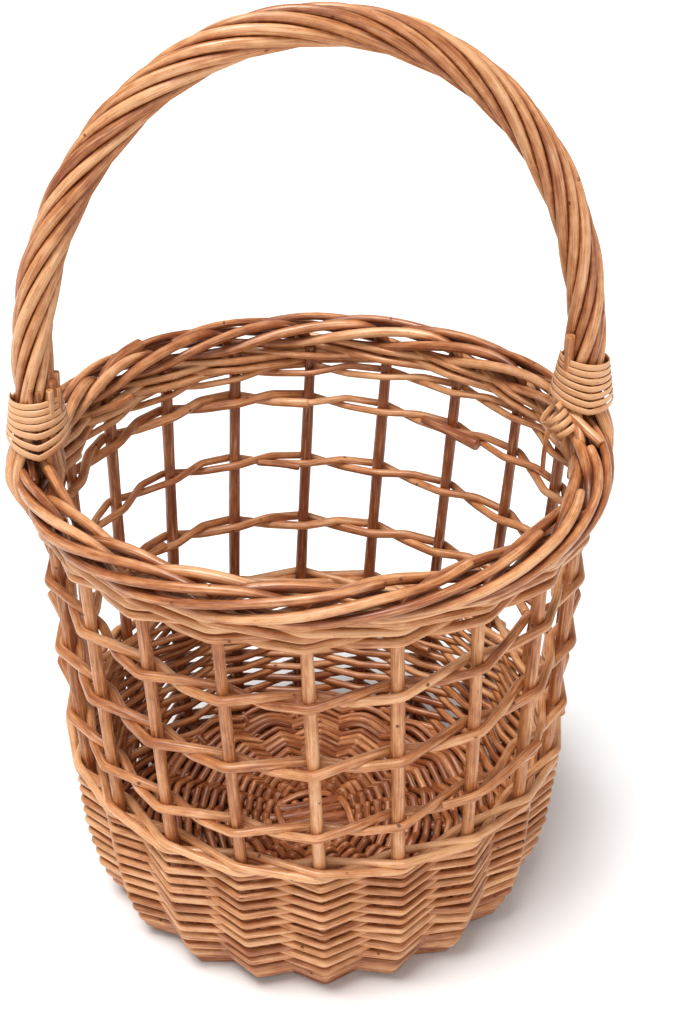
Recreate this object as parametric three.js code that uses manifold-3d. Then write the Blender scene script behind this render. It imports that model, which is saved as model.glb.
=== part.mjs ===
// A round willow egg basket with a fixed roped handle. Millimetres, +Z up, the floor at z = 0,
// the basket's axis on Z and its handle over X. Angles run from the front (-Y) towards +X, in degrees.
import * as THREE from "three";
import { mergeVertices } from "three/addons/utils/BufferGeometryUtils.js";
import Module from "manifold-3d";

const wasm = await Module();
wasm.setup();

// ---- driving dimensions ----
const GAP = 0.35; // clearance left round every rod that passes through a woven ring
const STAKES = 20;
const STAKE_R = 2.5;
const FIRST_STAKE = 11; // angle of stake 1
const STAKE_SWAY = 2.5; // how far hand spacing moves a stake round the basket
const SWAY_AT = 227; // where the stakes are pushed furthest
const STAKE_LEAN = 0.024; // degrees of lean for each millimetre of height
const LEAN_FROM = 136; // height at which the stakes stand at their own angles

const FOOT_RADIUS = 84; // middle of the wall at the floor
const WALL_FLARE = 0.045; // how much wider the wall gets for each millimetre of height
const WALL_BELLY = 16; // how far the wall swells out above the foot
const BELLY_HEIGHT = 20;
const WALL_HALF = 5; // half the thickness of a woven wall

const BASE_HEIGHT = 6; // middle of the base sticks
const BASE_HALF = 4.2;
const BASE_EDGE = 79;
const SLATH_OPEN = 19; // inner radius of the base weave
const STICK_R = 2.2;
const STICK_PITCH = 5.2;
const STICK_END = 77;
const SLIT_HALF = 1.5; // half the height of the slits in the pierced sticks
const SLIT_REACH = 14; // half the length of a slit
const PASSED_SHARE = 0.5; // how far a passed stick is shaved flat to go through the slits
const PIERCED_SHARE = 1.45; // how far a pierced stick swells at its slit
const SPOKE_STEP = 360 / STAKES;
const SPOKE_SIDE = 4.6; // each spoke lies this many degrees beside its stake
const STAKE_START = 69;
const STAKE_BEND = 82;

const UPSETT_TOP = 11;
const LOWER_WEAVE_TOP = 71.5;
const LOWER_WALE_TOP = 77.5;
const UPPER_WALE = [186, 195.6];
const STAKE_TOP = 205;
const FITCH_HEIGHTS = [103, 136, 168];
const FITCH_R = 1.8;
const FITCH_REACH = 4.9; // how far a fitching weaver passes before and behind a stake
const FITCH_CROSS = 2.35; // how far it rises and falls between stakes
const ROW_WAVES = [
  { turns: 1, rise: 6, at: 186 }, // the rows climb gently towards the back
  { turns: 2, rise: 4, at: 52 },
];

const BORDER_RADIUS = 111;
const BORDER_HALF = 9.5;
const BORDER_MIDDLE = 205.5;

const HANDLE_SPAN = 107.8; // half the distance between the handle's legs
const HANDLE_SPRING = 244; // where the legs turn into the bow
const HANDLE_TOP = 377; // middle of the rope at its highest
const BOW_R = 3.3;
const BOW_END = 183;
const ROPE_RODS = 8;
const ROPE_ROD_R = 2;
const ROPE_RADIUS = 6.1; // from the bow's middle to a rope rod's middle
const ROPE_TURNS = 3;
const ROPE_FOOT = 226; // below this the rods leave the bow
const ROPE_END = 217; // where a rod with no tail stops, on the border
const TAIL_HEIGHTS = [212.5, 205, 197, 189];
const OUTER_TAIL = [7.3, 9.9, 7.4, 5.4]; // how far each height of a tail stands out from the border's middle
const INNER_TAIL = [9.6, 10.2, 9.8, 9.6];
const TAIL_SPREAD = [11, 14, 17, 19]; // how far the outermost tails spread along the border
const BINDING = [215.6, 237];
const BINDING_WALL = 1.5;

// Sides and steps of the faceted rods.
const ROD_SIDES = 5;
const STAKE_STEPS = 11;
const STICK_STEPS = 12;
const ROPE_STEPS = 44;
const BOW_STEPS = 28;
const RING_SEGMENTS = 32;

const COLOURS = {
  stick: 0xb9824f,
  stake: 0xc48a55,
  weaver: 0xc98f5b,
  border: 0xbd7f4b,
  handle: 0xb8743f,
  skein: 0xd9a873,
};

const rad = THREE.MathUtils.degToRad;
const basket = new THREE.Group();

function willow(colour) {
  return new THREE.MeshStandardMaterial({ color: colour, roughness: 0.55, metalness: 0 });
}

function add(name, geometry, colour) {
  const mesh = new THREE.Mesh(geometry, willow(colour));
  mesh.name = name;
  basket.add(mesh);
}

function number(i) {
  return String(i + 1).padStart(2, "0");
}

// ---- solids: three.js geometry to and from manifold-3d ----
function solid(geometry) {
  const bare = geometry.clone();
  bare.deleteAttribute("normal");
  bare.deleteAttribute("uv");
  const merged = mergeVertices(bare, 1e-4);
  return new wasm.Manifold(
    new wasm.Mesh({
      numProp: 3,
      vertProperties: merged.attributes.position.array,
      triVerts: new Uint32Array(merged.index.array),
    }),
  );
}

function surface(body) {
  const mesh = body.getMesh();
  const geometry = new THREE.BufferGeometry();
  geometry.setAttribute("position", new THREE.BufferAttribute(mesh.vertProperties, 3));
  geometry.setIndex(new THREE.BufferAttribute(mesh.triVerts, 1));
  geometry.computeVertexNormals();
  return geometry;
}

function cut(geometry, cutters) {
  return surface(cutters.reduce((left, cutter) => left.subtract(solid(cutter)), solid(geometry)));
}

// ---- shared shapes ----
function at(angle, radius, height) {
  return new THREE.Vector3(radius * Math.sin(rad(angle)), -radius * Math.cos(rad(angle)), height);
}

// The middle of the wall: a straight flare, swollen just above the foot.
function wallRadius(height) {
  return FOOT_RADIUS + WALL_FLARE * height + WALL_BELLY * (1 - Math.exp(-height / BELLY_HEIGHT));
}

function ringShape(radius, sides) {
  const points = [];
  for (let i = 0; i < sides; i++) {
    const turn = (2 * Math.PI * (i + 0.5)) / sides;
    points.push(new THREE.Vector2(radius * Math.cos(turn), radius * Math.sin(turn)));
  }
  return new THREE.Shape(points);
}

// A rod along a smooth curve through the points.
function rod(points, radius, steps, sides = ROD_SIDES) {
  const path = new THREE.CatmullRomCurve3(points, false, "centripetal");
  path.arcLengthDivisions = 400;
  return new THREE.ExtrudeGeometry(ringShape(radius, sides), {
    extrudePath: path,
    steps,
    bevelEnabled: false,
  });
}

// The square channel that a rod needs through a woven ring.
function channel(points, radius, steps) {
  return rod(points, (radius + GAP) * Math.SQRT2, steps, 4);
}

// A solid ring round Z from an outline of [radius, height] points.
function ring(outline, segments = RING_SEGMENTS) {
  const closed = [...outline, outline[0]].map(([r, z]) => new THREE.Vector2(r, z));
  return new THREE.LatheGeometry(closed, segments).rotateX(Math.PI / 2);
}

// A stretch of woven wall between two heights, as one solid ring.
function wallRing(low, high, levels) {
  const heights = [];
  for (let i = 0; i <= levels; i++) heights.push(low + ((high - low) * i) / levels);
  const outside = heights.map((z) => [wallRadius(z) + WALL_HALF, z]);
  const inside = heights.map((z) => [wallRadius(z) - WALL_HALF, z]).reverse();
  return ring([...outside, ...inside]);
}

// ---- stakes ----
function stakeAngle(i, height) {
  const even = FIRST_STAKE + SPOKE_STEP * i;
  const sway = STAKE_SWAY * Math.cos(rad(even - SWAY_AT));
  return even + sway + STAKE_LEAN * (LEAN_FROM - height);
}

// A stake runs out along the base, turns up at its edge and follows the wall to the border.
function stakePoints(i) {
  const foot = stakeAngle(i, BASE_HEIGHT);
  const points = [
    at(foot, STAKE_START, BASE_HEIGHT),
    at(foot, STAKE_BEND, BASE_HEIGHT),
    at(foot, wallRadius(9) - 0.6, 9.5),
  ];
  for (const height of [16, 30, 50, 75, 110, 150, 185, STAKE_TOP])
    points.push(at(stakeAngle(i, height), wallRadius(height), height));
  return points;
}

const stakeChannels = [];
for (let i = 0; i < STAKES; i++) {
  add("stake_" + number(i), rod(stakePoints(i), STAKE_R, STAKE_STEPS), COLOURS.stake);
  stakeChannels.push(channel(stakePoints(i), STAKE_R, STAKE_STEPS));
}

// ---- base ----
const SLATH_TURN = stakeAngle(0, BASE_HEIGHT) - SPOKE_SIDE;
const VERTICAL = new THREE.Vector3(0, 0, 1);

// A base stick lies straight through the slath and fans out to a spoke at each end.
function stickPoints(place, quarter) {
  const turn = SLATH_TURN + 90 * quarter;
  const fan = place * SPOKE_STEP;
  const straight = (along) =>
    new THREE.Vector3(place * STICK_PITCH, -along, BASE_HEIGHT).applyAxisAngle(VERTICAL, rad(turn));
  const near = (radius) => at(turn + fan, radius, BASE_HEIGHT);
  const far = (radius) => at(turn + 180 - fan, radius, BASE_HEIGHT);
  return [
    far(STICK_END),
    far(54),
    far(36),
    straight(-SLIT_REACH),
    straight(0),
    straight(SLIT_REACH),
    near(36),
    near(54),
    near(STICK_END),
  ];
}

// Makes a stick's middle thicker or thinner by a share of its height, fading out along the stick.
function thicken(geometry, share) {
  const position = geometry.attributes.position;
  for (let i = 0; i < position.count; i++) {
    const radius = Math.hypot(position.getX(i), position.getY(i));
    const fade = THREE.MathUtils.smoothstep(radius, SLIT_REACH, SLATH_OPEN);
    const scale = THREE.MathUtils.lerp(share, 1, fade);
    position.setZ(i, BASE_HEIGHT + (position.getZ(i) - BASE_HEIGHT) * scale);
  }
  return geometry;
}

const slits = new THREE.BoxGeometry(2 * SLIT_REACH, 2 * SLIT_REACH, 2 * SLIT_HALF);
slits.rotateZ(rad(SLATH_TURN)).translate(0, 0, BASE_HEIGHT);
const stickChannels = [];
for (let i = 0; i < 5; i++) {
  const passed = thicken(rod(stickPoints(i - 2, 0), STICK_R, STICK_STEPS), PASSED_SHARE);
  const pierced = thicken(rod(stickPoints(i - 2, 1), STICK_R, STICK_STEPS), PIERCED_SHARE);
  add("passed_base_stick_" + (i + 1), passed, COLOURS.stick);
  add("pierced_base_stick_" + (i + 1), cut(pierced, [slits]), COLOURS.stick);
  stickChannels.push(channel(stickPoints(i - 2, 0), STICK_R, STICK_STEPS));
  stickChannels.push(thicken(channel(stickPoints(i - 2, 1), STICK_R, STICK_STEPS), PIERCED_SHARE));
}

const baseWeave = ring([
  [BASE_EDGE, BASE_HEIGHT - BASE_HALF],
  [BASE_EDGE, BASE_HEIGHT + BASE_HALF],
  [SLATH_OPEN, BASE_HEIGHT + BASE_HALF],
  [SLATH_OPEN, BASE_HEIGHT - BASE_HALF],
]);
add("base_weave", cut(baseWeave, [...stickChannels, ...stakeChannels]), COLOURS.weaver);

// ---- walls ----
const upsett = ring([
  [wallRadius(0) + WALL_HALF, 0],
  [wallRadius(UPSETT_TOP) + WALL_HALF, UPSETT_TOP],
  [BASE_EDGE + GAP, UPSETT_TOP],
  [BASE_EDGE + GAP, 0],
]);
add("upsett", cut(upsett, stakeChannels), COLOURS.weaver);
add("lower_weave", cut(wallRing(UPSETT_TOP + GAP, LOWER_WEAVE_TOP, 3), stakeChannels), COLOURS.weaver);
add("lower_wale", cut(wallRing(LOWER_WEAVE_TOP + GAP, LOWER_WALE_TOP, 1), stakeChannels), COLOURS.weaver);

// ---- fitching ----
function rowRise(angle) {
  const rises = ROW_WAVES.map((wave) => wave.rise * Math.cos(wave.turns * rad(angle - wave.at)));
  return rises.reduce((sum, rise) => sum + rise, 0);
}

// A fitching weaver: a thin torus pushed before one stake and behind the next,
// rising on the way out and falling on the way back.
function fitchWeaver(height, side) {
  const torus = new THREE.TorusGeometry(FOOT_RADIUS, FITCH_R, 4, 3 * STAKES);
  const position = torus.attributes.position;
  for (let k = 0; k < position.count; k++) {
    const [x, y, z] = [position.getX(k), position.getY(k), position.getZ(k)];
    const stake = THREE.MathUtils.radToDeg(Math.atan2(y, x)) / SPOKE_STEP;
    const level = height + rowRise(stakeAngle(stake, height));
    const reach = wallRadius(level) + side * FITCH_REACH * Math.cos(Math.PI * stake);
    const lift = level + side * FITCH_CROSS * Math.sin(Math.PI * stake);
    const radius = reach + Math.hypot(x, y) - FOOT_RADIUS;
    position.setXYZ(k, ...at(stakeAngle(stake, level), radius, lift + z));
  }
  return torus;
}

FITCH_HEIGHTS.forEach((height, row) => {
  add(`fitch_${row + 1}_first_weaver`, fitchWeaver(height, 1), COLOURS.weaver);
  add(`fitch_${row + 1}_second_weaver`, fitchWeaver(height, -1), COLOURS.weaver);
});

// ---- handle ----
// The bow's middle line: straight legs under half an ellipse, from the -X foot to the +X foot.
function bowPoint(share) {
  const turn = Math.PI * (1 - share);
  const rise = HANDLE_TOP - HANDLE_SPRING;
  return new THREE.Vector3(HANDLE_SPAN * Math.cos(turn), 0, HANDLE_SPRING + rise * Math.sin(turn));
}

function bowLine(legEnd) {
  const points = [new THREE.Vector3(-HANDLE_SPAN, 0, legEnd)];
  for (let i = 0; i <= 16; i++) points.push(bowPoint(i / 16));
  points.push(new THREE.Vector3(HANDLE_SPAN, 0, legEnd));
  const curve = new THREE.CatmullRomCurve3(points, false, "centripetal");
  curve.arcLengthDivisions = 800;
  return curve;
}

const bowPoints = bowLine(BOW_END).getSpacedPoints(40);
add("handle_bow", rod(bowPoints, BOW_R, BOW_STEPS), COLOURS.handle);
const bowChannel = channel(bowPoints, BOW_R, BOW_STEPS);

// A rod's tail below the binding goes over the border's outside or inside and down along the wall.
// Rods that lie straight along the border stop on top of it.

function tailPoints(sign, turn) {
  const outward = Math.cos(turn);
  if (Math.abs(outward) < 0.3)
    return [new THREE.Vector3(sign * HANDLE_SPAN, -ROPE_RADIUS * Math.sin(turn), ROPE_END)];
  const reaches = outward > 0 ? OUTER_TAIL : INNER_TAIL;
  return TAIL_HEIGHTS.map((height, k) => {
    const reach = Math.sign(outward) * reaches[k];
    return new THREE.Vector3(sign * (BORDER_RADIUS + reach), -TAIL_SPREAD[k] * Math.sin(turn), height);
  });
}

// A rope rod winds round the bow between the two feet and runs out in a tail at each.
function ropePoints(i) {
  const line = bowLine(ROPE_FOOT);
  const points = [];
  for (let k = 0; k <= ROPE_STEPS; k++) {
    const share = k / ROPE_STEPS;
    const middle = line.getPointAt(share);
    const tangent = line.getTangentAt(share);
    const outward = new THREE.Vector3(-tangent.z, 0, tangent.x);
    const turn = 2 * Math.PI * (i / ROPE_RODS + ROPE_TURNS * share);
    middle.addScaledVector(outward, ROPE_RADIUS * Math.cos(turn));
    middle.y -= ROPE_RADIUS * Math.sin(turn);
    points.push(middle);
  }
  const turn = (2 * Math.PI * i) / ROPE_RODS;
  return [...tailPoints(-1, turn).reverse(), ...points, ...tailPoints(1, turn)];
}

const ropeChannels = [];
for (let i = 0; i < ROPE_RODS; i++) {
  add("handle_rod_" + (i + 1), rod(ropePoints(i), ROPE_ROD_R, ROPE_STEPS), COLOURS.handle);
  ropeChannels.push(channel(ropePoints(i), ROPE_ROD_R, ROPE_STEPS));
}

// Each foot's skein binding, a sleeve that widens downwards.
for (const [side, sign] of [["left", -1], ["right", 1]]) {
  const [low, high] = BINDING;
  const hold = ROPE_RADIUS + ROPE_ROD_R + GAP;
  const sleeve = ring(
    [
      [hold + 1.8 + BINDING_WALL, low],
      [hold + BINDING_WALL, high],
      [hold, high],
      [hold + 1.4, low],
    ],
    16,
  ).translate(sign * HANDLE_SPAN, 0, 0);
  add("handle_binding_" + side, cut(sleeve, ropeChannels), COLOURS.skein);
}

// ---- rim ----
const throughRim = [...stakeChannels, bowChannel, ...ropeChannels];
add("upper_wale", cut(wallRing(...UPPER_WALE, 1), throughRim), COLOURS.weaver);

const borderSides = 8;
const borderOutline = [];
for (let i = 0; i < borderSides; i++) {
  const turn = (2 * Math.PI * (i + 0.5)) / borderSides;
  const reach = BORDER_HALF / Math.cos(Math.PI / borderSides);
  borderOutline.push([BORDER_RADIUS + reach * Math.cos(turn), BORDER_MIDDLE + reach * Math.sin(turn)]);
}
add("border", cut(ring(borderOutline), throughRim), COLOURS.border);

export default basket;
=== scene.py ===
"""A round willow egg basket with a roped bow handle, laid out as an add-on and run as a script.

Metres, +Z up, the floor at z = 0. The basket's axis is Z and its handle stands over X.
Angles run round the basket from the front (-Y) towards +X. A stake number may be any real number:
3 is the stake itself and 3.5 is half-way to the next one.
"""

import math

import bpy
import numpy as np
from bpy.props import FloatProperty, FloatVectorProperty, IntProperty, PointerProperty
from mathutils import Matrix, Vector


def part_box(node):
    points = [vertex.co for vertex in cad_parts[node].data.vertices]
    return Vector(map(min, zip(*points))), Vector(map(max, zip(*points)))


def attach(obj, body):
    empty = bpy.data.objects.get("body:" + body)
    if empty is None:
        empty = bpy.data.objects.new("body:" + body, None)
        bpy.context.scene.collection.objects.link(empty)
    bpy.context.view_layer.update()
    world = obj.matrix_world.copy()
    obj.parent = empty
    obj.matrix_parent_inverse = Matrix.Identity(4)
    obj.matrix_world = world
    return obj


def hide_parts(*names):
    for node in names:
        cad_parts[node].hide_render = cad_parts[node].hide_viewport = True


bl_info = {
    "name": "Willow egg basket",
    "version": (1, 0, 0),
    "blender": (4, 5, 0),
    "location": "View3D > Sidebar > Basket",
    "description": "Weaves a round willow egg basket, rod by rod, round its packed frame",
    "category": "Add Mesh",
}

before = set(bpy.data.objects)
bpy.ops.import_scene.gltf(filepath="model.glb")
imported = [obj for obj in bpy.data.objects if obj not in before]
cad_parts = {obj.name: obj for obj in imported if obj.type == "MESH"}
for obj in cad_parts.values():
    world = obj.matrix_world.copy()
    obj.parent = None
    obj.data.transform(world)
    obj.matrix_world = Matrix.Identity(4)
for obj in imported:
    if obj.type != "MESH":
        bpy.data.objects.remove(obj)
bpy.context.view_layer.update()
MM = 0.001

UPSETT_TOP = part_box("upsett")[1].z
LOWER_WEAVE_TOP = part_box("lower_weave")[1].z
LOWER_WALE_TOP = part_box("lower_wale")[1].z
UPPER_WALE_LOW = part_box("upper_wale")[0].z
BORDER_LOW, BORDER_HIGH = (corner.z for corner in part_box("border"))
BORDER_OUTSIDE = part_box("border")[1].x

# the middle of the border's section, as a height and a radius
BORDER_MIDDLE = (BORDER_LOW + BORDER_HIGH) / 2
BORDER_RING = BORDER_OUTSIDE - 8.4 * MM
OPEN_ROWS = (103 * MM, 136 * MM, 168 * MM)
# each spoke lies this far round from its stake
BESIDE_STAKE = math.radians(4.6)
CROWN_EDGE = 79 * MM
BASE_RIM = 82 * MM
# how far a hand-worked weaver strays, outwards and upwards
STRAY_OUT, STRAY_UP = 0.15 * MM, 0.2 * MM


# ---- what a user would change ----
class BasketSizes(bpy.types.PropertyGroup):
    """The basket's own sizes."""

    stakes: IntProperty(name="Stakes", description="Side stakes round the basket", default=20, min=8)
    first_stake: FloatProperty(
        name="First stake", description="Angle of stake 0 from the front",
        default=math.radians(11), subtype="ANGLE")
    stake_sway: FloatProperty(
        name="Stake sway", description="How far hand spacing moves a stake round the basket",
        default=math.radians(2.5), subtype="ANGLE")
    sway_at: FloatProperty(
        name="Sway at", description="Where the stakes are pushed furthest",
        default=math.radians(227), subtype="ANGLE")
    stake_lean: FloatProperty(
        name="Stake lean", description="Turn round the basket for each metre of height",
        default=math.radians(24), subtype="ANGLE")
    lean_from: FloatProperty(
        name="Lean from", description="Height at which the stakes stand at their own angles",
        default=136 * MM, unit="LENGTH")
    stake_radius: FloatProperty(
        name="Stake radius", description="Half the thickness of a side stake",
        default=2.55 * MM, unit="LENGTH")
    foot_radius: FloatProperty(
        name="Foot radius", description="Middle of the wall at the floor",
        default=84 * MM, unit="LENGTH")
    wall_flare: FloatProperty(
        name="Wall flare", description="How much wider the wall gets for its height", default=0.045)
    wall_belly: FloatProperty(
        name="Wall belly", description="How far the wall swells out above the foot",
        default=16 * MM, unit="LENGTH")
    belly_height: FloatProperty(
        name="Belly height", description="How quickly the wall swells", default=20 * MM, unit="LENGTH")
    base_height: FloatProperty(
        name="Base height", description="Middle of the base sticks at the edge",
        default=6 * MM, unit="LENGTH")
    base_crown: FloatProperty(
        name="Base crown", description="How far the base rises to its middle",
        default=3 * MM, unit="LENGTH")
    stick_radius: FloatProperty(
        name="Base stick radius", description="Half the thickness of a base stick",
        default=2.3 * MM, unit="LENGTH")
    weaver_radius: FloatProperty(
        name="Weaver radius", description="Half the thickness of a wall weaver",
        default=1.72 * MM, unit="LENGTH")
    weave_pitch: FloatProperty(
        name="Weave pitch", description="Rise of one wall weaver in a whole round",
        default=5.8 * MM, unit="LENGTH")
    fitch_radius: FloatProperty(
        name="Fitch radius", description="Half the thickness of a fitching weaver",
        default=1.95 * MM, unit="LENGTH")
    wale_radius: FloatProperty(
        name="Wale radius", description="Half the thickness of a waling rod",
        default=1.9 * MM, unit="LENGTH")
    border_radius: FloatProperty(
        name="Border rod radius", description="Half the thickness of a stake top in the border",
        default=2.15 * MM, unit="LENGTH")
    rope_turns: FloatProperty(
        name="Rope turns", description="Turns of the handle's rods from foot to foot", default=3.0)
    core_radius: FloatProperty(
        name="Bow radius", description="Half the thickness of the handle's bow",
        default=3.5 * MM, unit="LENGTH")
    skein_width: FloatProperty(
        name="Skein width", description="Width of the flat binding",
        default=2.75 * MM, unit="LENGTH")


class BasketColours(bpy.types.PropertyGroup):
    """The willow's colours, from its palest skin to its darkest, and the floor's."""

    pale: FloatVectorProperty(
        name="Pale", description="The palest buff willow", subtype="COLOR", size=3, min=0, max=1,
        default=(0.66, 0.37, 0.19))
    tan: FloatVectorProperty(
        name="Tan", description="Most of the buff willow", subtype="COLOR", size=3, min=0, max=1,
        default=(0.50, 0.215, 0.085))
    russet: FloatVectorProperty(
        name="Russet", description="The darkest rods", subtype="COLOR", size=3, min=0, max=1,
        default=(0.27, 0.085, 0.028))
    # deep is also the painted shade in the grooves between rods
    deep: FloatVectorProperty(
        name="Deep", description="The darkest streaks, and the grooves between rods",
        subtype="COLOR", size=3, min=0, max=1, default=(0.13, 0.031, 0.006))
    # partly real wear and partly painted highlight: pale patches over the rods
    worn_and_sheen: FloatVectorProperty(
        name="Worn", description="Scuffed and bleached skin", subtype="COLOR", size=3, min=0, max=1,
        default=(0.78, 0.5, 0.31))
    bud: FloatVectorProperty(
        name="Bud", description="Bud scars and knots", subtype="COLOR", size=3, min=0, max=1,
        default=(0.11, 0.032, 0.012))
    floor: FloatVectorProperty(
        name="Floor", description="The studio floor", subtype="COLOR", size=3, min=0, max=1,
        default=(0.9, 0.9, 0.9))


def sizes():
    """The sizes that the scene holds now."""
    return bpy.context.scene.basket_sizes


def colours():
    """The colours that the scene holds now."""
    return bpy.context.scene.basket_colours


# ---- places in the basket ----
def place(angle, radius, height):
    """Points at these angles, radii and heights, which may be arrays."""
    x, y, z = np.broadcast_arrays(radius * np.sin(angle), -radius * np.cos(angle), height)
    return np.stack([x, y, z], axis=-1).astype(float)


def wall_radius(height):
    """The middle of the wall: a straight flare, swollen just above the foot by an exponential."""
    s = sizes()
    swell = 1 - np.exp(-np.asarray(height) / s.belly_height)
    return s.foot_radius + s.wall_flare * height + s.wall_belly * swell


def stake_angle(stake, height):
    """An even step round the basket, plus one slow wave of hand spacing and a lean with height."""
    s = sizes()
    even = s.first_stake + 2 * math.pi / s.stakes * np.asarray(stake)
    sway = s.stake_sway * np.cos(even - s.sway_at)
    return even + sway + s.stake_lean * (s.lean_from - height)


def at_stake(stake, reach, height):
    """Points in the wall at these stake numbers, reach outside its middle."""
    return place(stake_angle(stake, height), wall_radius(height) + reach, height)


def unit(vectors):
    """Each vector divided by its own length."""
    return vectors / np.maximum(np.linalg.norm(vectors, axis=-1, keepdims=True), 1e-12)


# ---- rods ----
def run_of(line):
    """The distance along a line to each of its points: the sum of the steps before it."""
    return np.concatenate([[0], np.cumsum(np.linalg.norm(np.diff(line, axis=0), axis=1))])


def points_at(distances, along, line):
    """The points of a line at these distances, each a share of the way along its own step."""
    return np.stack([np.interp(distances, along, line[:, axis]) for axis in range(3)], axis=1)


def bent_line(points, corner=2 * MM, longest=6 * MM):
    """How a rod takes a route: straight between its points, and bent at each along the parabola
    that leaves the straight part corner before the point, or half-way if that is nearer: (1 - t)
    squared of where it leaves, 2t(1 - t) of the point and t squared of where it joins again.
    Straight parts get a point at least every longest."""
    nearest, bend_points = 0.25 * MM, 5
    points = np.asarray(points, float)
    leg = np.diff(points, axis=0)
    length = np.linalg.norm(leg, axis=1, keepdims=True)
    cut = np.minimum(corner / np.maximum(length, 1e-9), 0.5)
    before = points[1:-1] - (leg * cut)[:-1]
    after = points[1:-1] + (leg * cut)[1:]
    t = np.linspace(0, 1, bend_points)[None, :, None]
    bends = (1 - t) ** 2 * before[:, None] + 2 * t * (1 - t) * points[1:-1, None] + t**2 * after[:, None]
    line = np.concatenate([points[:1], bends.reshape(-1, 3), points[-1:]])
    along = run_of(line)
    at = np.sort(np.concatenate([along, np.arange(longest / 2, along[-1], longest)]))
    at = np.concatenate([at[:-1][np.diff(at) > nearest], along[-1:]])
    return points_at(at, along, line)


def swept(line, radii, shade, rng, sides=10, reference=(0, 0, 1), flat=1.0, bevel=0.84):
    """A round rod along a line. Each ring is the line's point plus its radius times the cosine of
    the turn across and the sine of the turn up, across being the tangent crossed with reference.
    A slow sine makes the rod a little uneven. flat is its thickness across as a share of its width
    up. Both ends are cut square, with bevel the share of the radius left there. shade is how dark
    the rod is, and rod_place is a point's own place in the rod if it were straight."""
    nib, uneven, wave, pattern_length = 0.2, 0.04, 12 * MM, 50
    reference = np.broadcast_to(reference, line.shape)
    reference = np.concatenate([reference[:1], reference, reference[-1:]])
    line = np.concatenate([line[:1], line[:1] + nib * (line[1] - line[0]), line[1:-1],
                           line[-1:] + nib * (line[-2] - line[-1]), line[-1:]])
    along = run_of(line)
    radii = np.interp(along / along[-1], np.linspace(0, 1, len(radii)), radii)
    radii = radii * (1 + uneven * np.sin(along / wave + rng.uniform(0, 2 * math.pi)))
    radii[[0, -1]] *= bevel
    tangent = unit(np.gradient(line, axis=0))
    across = unit(np.cross(tangent, reference))
    up = np.cross(across, tangent)
    turn = np.arange(sides) * 2 * math.pi / sides
    swell = radii[:, None] * np.ones(sides)
    ring = flat * np.cos(turn)[:, None] * across[:, None] + np.sin(turn)[:, None] * up[:, None]
    ends = np.stack([line[0], line[-1]])
    points = np.concatenate([(line[:, None] + swell[..., None] * ring).reshape(-1, 3), ends])
    offset = rng.uniform(0, pattern_length)
    own = np.stack([swell * np.cos(turn), swell * np.sin(turn),
                    np.broadcast_to((along + offset)[:, None], swell.shape)], axis=-1).reshape(-1, 3)
    own = np.concatenate([own, [[0, 0, offset], [0, 0, along[-1] + offset]]])
    here = np.arange(sides)
    there = (here + 1) % sides
    rows = np.arange(len(line) - 1)[:, None] * sides
    quads = np.stack([rows + here, rows + sides + here, rows + sides + there, rows + there], axis=-1)
    last, pole = (len(line) - 1) * sides, len(line) * sides
    start = np.stack([np.full(sides, pole), here, there], axis=1)
    end = np.stack([np.full(sides, pole + 1), last + there, last + here], axis=1)
    return {
        "points": points,
        "quads": quads.reshape(-1, 4),
        "caps": np.concatenate([start, end]),
        "own": own,
        "shade": np.full(len(points), shade),
        "cut": np.concatenate([np.zeros(len(points) - 2), [1, 1]]),
    }


def woven(stake, out, height, radius, rng, shades, span=24, corner=2 * MM, sides=9):
    """A long weaver as the rods it is made of, each about span points of its route. A new rod
    starts behind a stake, lying inside the old one, which ends just past it. Each rod tapers
    evenly from its butt to its tip."""
    past, under_old, tuck = 0.2, 1.9, 0.8
    shortest, longest, left_over = 0.8, 1.25, 4
    radius = np.broadcast_to(radius, stake.shape)
    inside = np.flatnonzero(out < -0.5 * np.abs(out).max())
    rods, first = [], 0
    while first < len(stake) - 1:
        enough = first + span * rng.uniform(shortest, longest)
        later = inside[(inside >= enough) & (inside < len(stake) - left_over)]
        last = later[0] if len(later) else len(stake) - 1
        part = slice(first, last + 1)
        where, reach, level = stake[part], out[part].copy(), height[part]
        if first:
            reach[0] -= under_old * radius[first]
        points = at_stake(np.concatenate([where[:1] - past, where, where[-1:] + past]),
                          np.concatenate([reach[:1], reach, reach[-1:] - tuck * radius[last]]),
                          np.concatenate([level[:1], level, level[-1:]]))
        butt, tip = rng.uniform(1.03, 1.15), rng.uniform(0.82, 0.93)
        radii = radius[part] * np.linspace(butt, tip, last - first + 1)
        rods.append(swept(bent_line(points, corner), radii, rng.uniform(*shades), rng, sides))
        first = last
    return rods


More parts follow.
